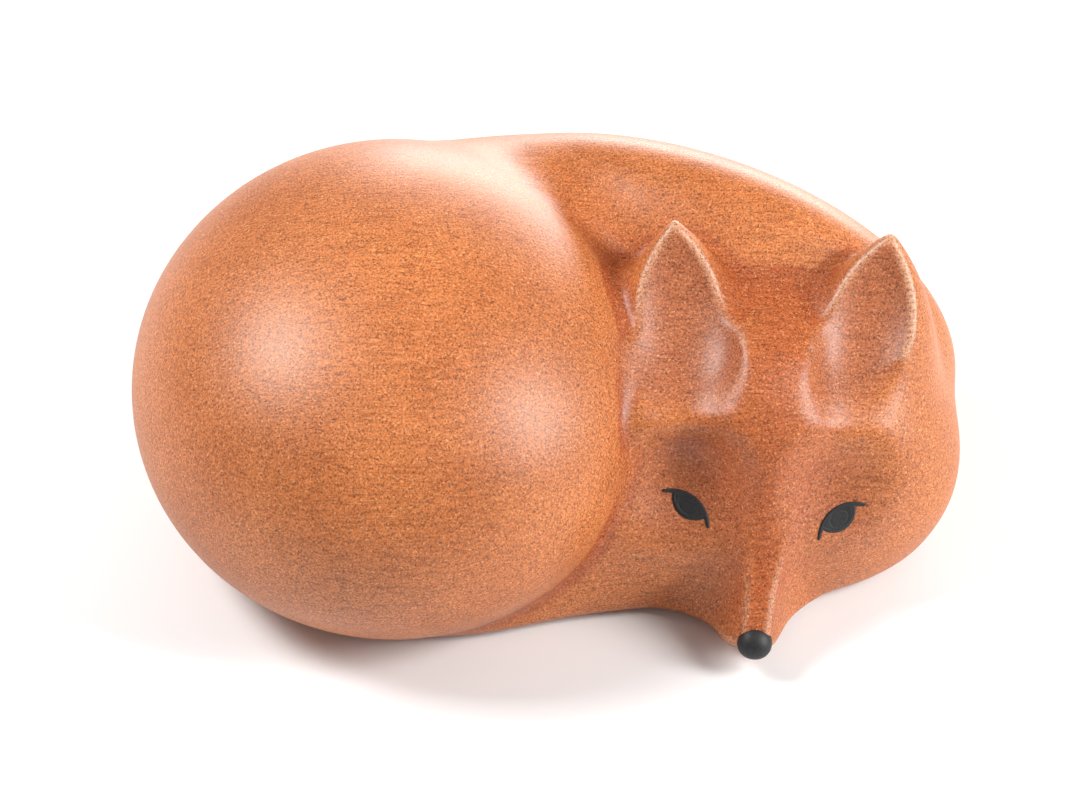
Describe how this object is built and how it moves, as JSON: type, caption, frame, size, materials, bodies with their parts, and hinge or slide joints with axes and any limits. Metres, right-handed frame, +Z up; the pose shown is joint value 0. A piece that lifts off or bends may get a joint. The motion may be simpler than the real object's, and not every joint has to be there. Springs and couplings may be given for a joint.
{
  "type": "animal figurine",
  "caption": "Curled-up sleeping fox figurine with pricked ears, hollow glazed stoneware resting on felt pads.",
  "frame": {"origin": "centre of the figure's bounding box, on the table plane under the felt pads", "axes": "+Z up from the table, -Y towards the tip of the fox's nose, -X towards its haunch, +X towards its chest"},
  "size_m": [0.2422, 0.1729, 0.1069],
  "materials": {
    "terracotta_glaze": "satin speckled glaze",
    "black_glaze": "matte",
    "felt": "matte felt"
  },
  "bodies": {
    "root": {"body_shell": "terracotta_glaze", "head_shell": "terracotta_glaze", "ear_left": "terracotta_glaze", "ear_right": "terracotta_glaze", "eye_left": "black_glaze", "eye_right": "black_glaze", "nose_tip": "black_glaze", "felt_pad_1": "felt", "felt_pad_2": "felt", "felt_pad_3": "felt", "felt_pad_4": "felt"}
  },
  "joints": []
}
